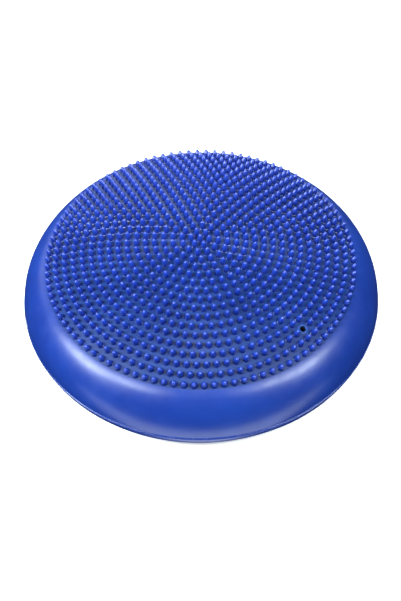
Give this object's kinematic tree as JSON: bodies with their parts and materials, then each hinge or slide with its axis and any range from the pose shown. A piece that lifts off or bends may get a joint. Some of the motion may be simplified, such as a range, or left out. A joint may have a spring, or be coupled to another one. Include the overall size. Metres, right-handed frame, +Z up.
{
  "type": "wobble cushion",
  "caption": "Round inflated balance cushion with a domed top of massage nubs, smooth rounded sides, a studded flat base and a recessed needle valve; the top tilts and the sides give.",
  "frame": {"origin": "middle of the base, at the height of the floor it stands on", "axes": "+Z up through the middle of the dome; the needle valve lies on the +X, -Y side"},
  "size_m": [0.3308, 0.3308, 0.0983],
  "materials": {
    "skin": "satin",
    "seam": "satin",
    "nubs": "satin",
    "valve_collar": "satin",
    "valve_rubber": "matte"
  },
  "bodies": {
    "base": {"lower_shell": "skin"},
    "girdle": {"seam_band": "seam"},
    "flank": {"shoulder": "skin"},
    "crown": {"dome_skin": "skin", "massage_nubs": "nubs", "valve_pocket": "valve_collar", "valve_plug": "valve_rubber"}
  },
  "joints": [
    {"name": "sink", "type": "slide", "parent": "base", "child": "girdle", "axis": [0, 0, -1], "range_m": [0, 0.008], "stiffness_N_per_m": 30000, "deforming": ["lower_shell"]},
    {"name": "tilt_x", "type": "hinge", "parent": "girdle", "child": "flank", "pos_m": [0, 0, 0.032], "axis": [1, 0, 0], "range_deg": [-3.5, 3.5], "stiffness_Nm_per_rad": 250, "deforming": ["shoulder"]},
    {"name": "tilt_y", "type": "hinge", "parent": "flank", "child": "crown", "pos_m": [0, 0, 0.051], "axis": [0, 1, 0], "range_deg": [-3.5, 3.5], "stiffness_Nm_per_rad": 250, "deforming": ["shoulder"]}
  ]
}
